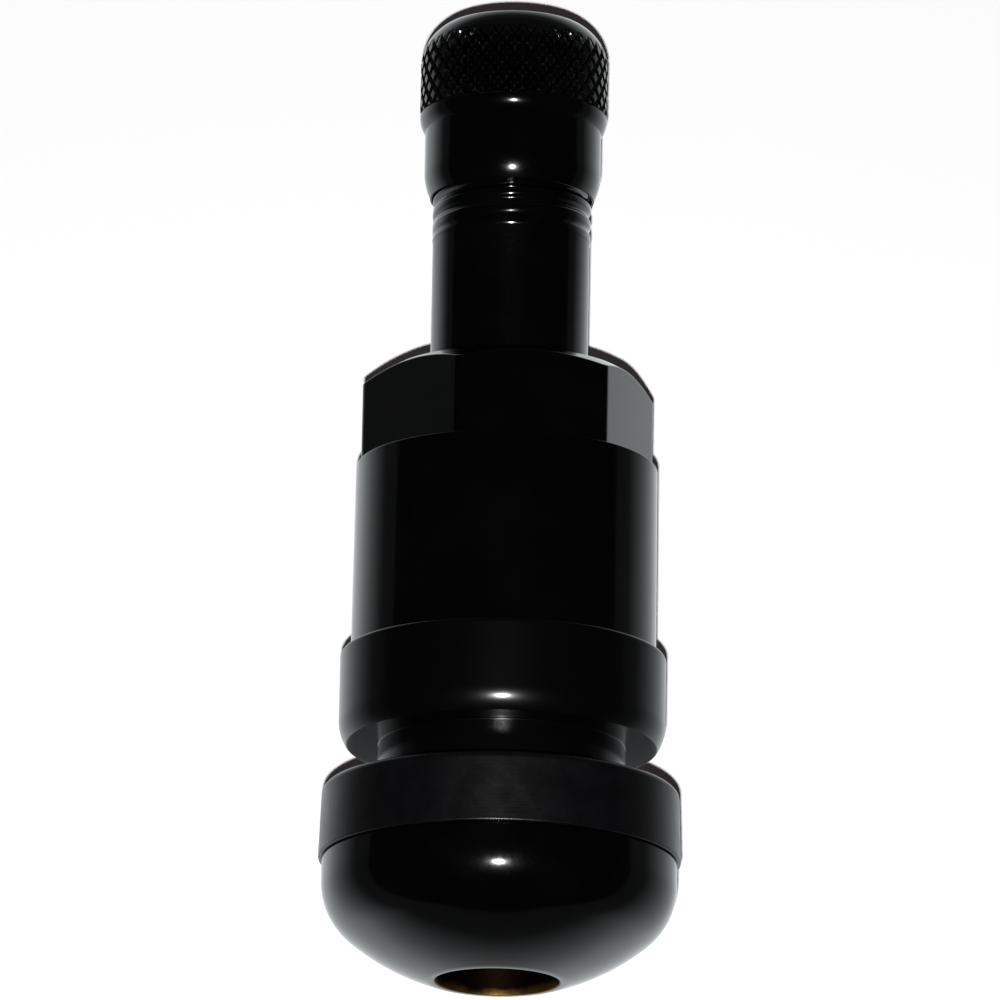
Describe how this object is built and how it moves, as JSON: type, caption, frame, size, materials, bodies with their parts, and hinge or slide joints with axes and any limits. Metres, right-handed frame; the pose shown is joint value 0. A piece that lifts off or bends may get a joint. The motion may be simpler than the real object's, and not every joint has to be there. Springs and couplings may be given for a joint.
{
  "type": "tyre valve",
  "caption": "Black metal clamp-in tyre valve: domed foot, rubber rim seal, hexagon sleeve nut, threaded stem, knurled dust cap and a spring-loaded valve core.",
  "frame": {"origin": "on the stem's axis, in the plane of the rubber flange's face that seats on the inside of the rim", "axes": "+Z along the stem, from the foot inside the tyre to the dust cap outside"},
  "size_m": [0.0175, 0.0174, 0.0479],
  "materials": {
    "black_metal": "satin",
    "black_rubber": "matte",
    "bare_brass": "satin",
    "red_rubber": "matte",
    "bright_steel": "satin"
  },
  "bodies": {
    "valve": {"valve_body": "black_metal", "rim_seal": "black_rubber", "core_plug": "bare_brass", "core_barrel": "bare_brass", "core_gasket": "red_rubber", "core_spring": "bright_steel"},
    "nut": {"sleeve_nut": "black_metal"},
    "cap_seal": {"cap_gasket": "black_rubber"},
    "cap": {"dust_cap": "black_metal"},
    "pin": {"core_pin": "bright_steel", "core_cup": "bare_brass", "core_cup_seal": "black_rubber"}
  },
  "joints": [
    {"name": "nut_travel", "type": "slide", "parent": "valve", "child": "nut", "axis": [0, 0, 1], "range_m": [0, 0.0085]},
    {"name": "cap_lift", "type": "slide", "parent": "valve", "child": "cap_seal", "axis": [0, 0, 1], "range_m": [0, 0.00794]},
    {"name": "cap_turn", "type": "hinge", "parent": "cap_seal", "child": "cap", "pos_m": [0, 0, 0.0298], "axis": [0, 0, 1], "range_deg": [0, 3600]},
    {"name": "pin_press", "type": "slide", "parent": "valve", "child": "pin", "axis": [0, 0, -1], "range_m": [0, 0.0015], "stiffness_N_per_m": 1000, "springref_m": -0.002, "deforming": ["core_spring"]}
  ],
  "couplings": [
    {"joint": "cap_turn", "follows": "cap_lift", "rad_per_m": 7915.8}
  ]
}
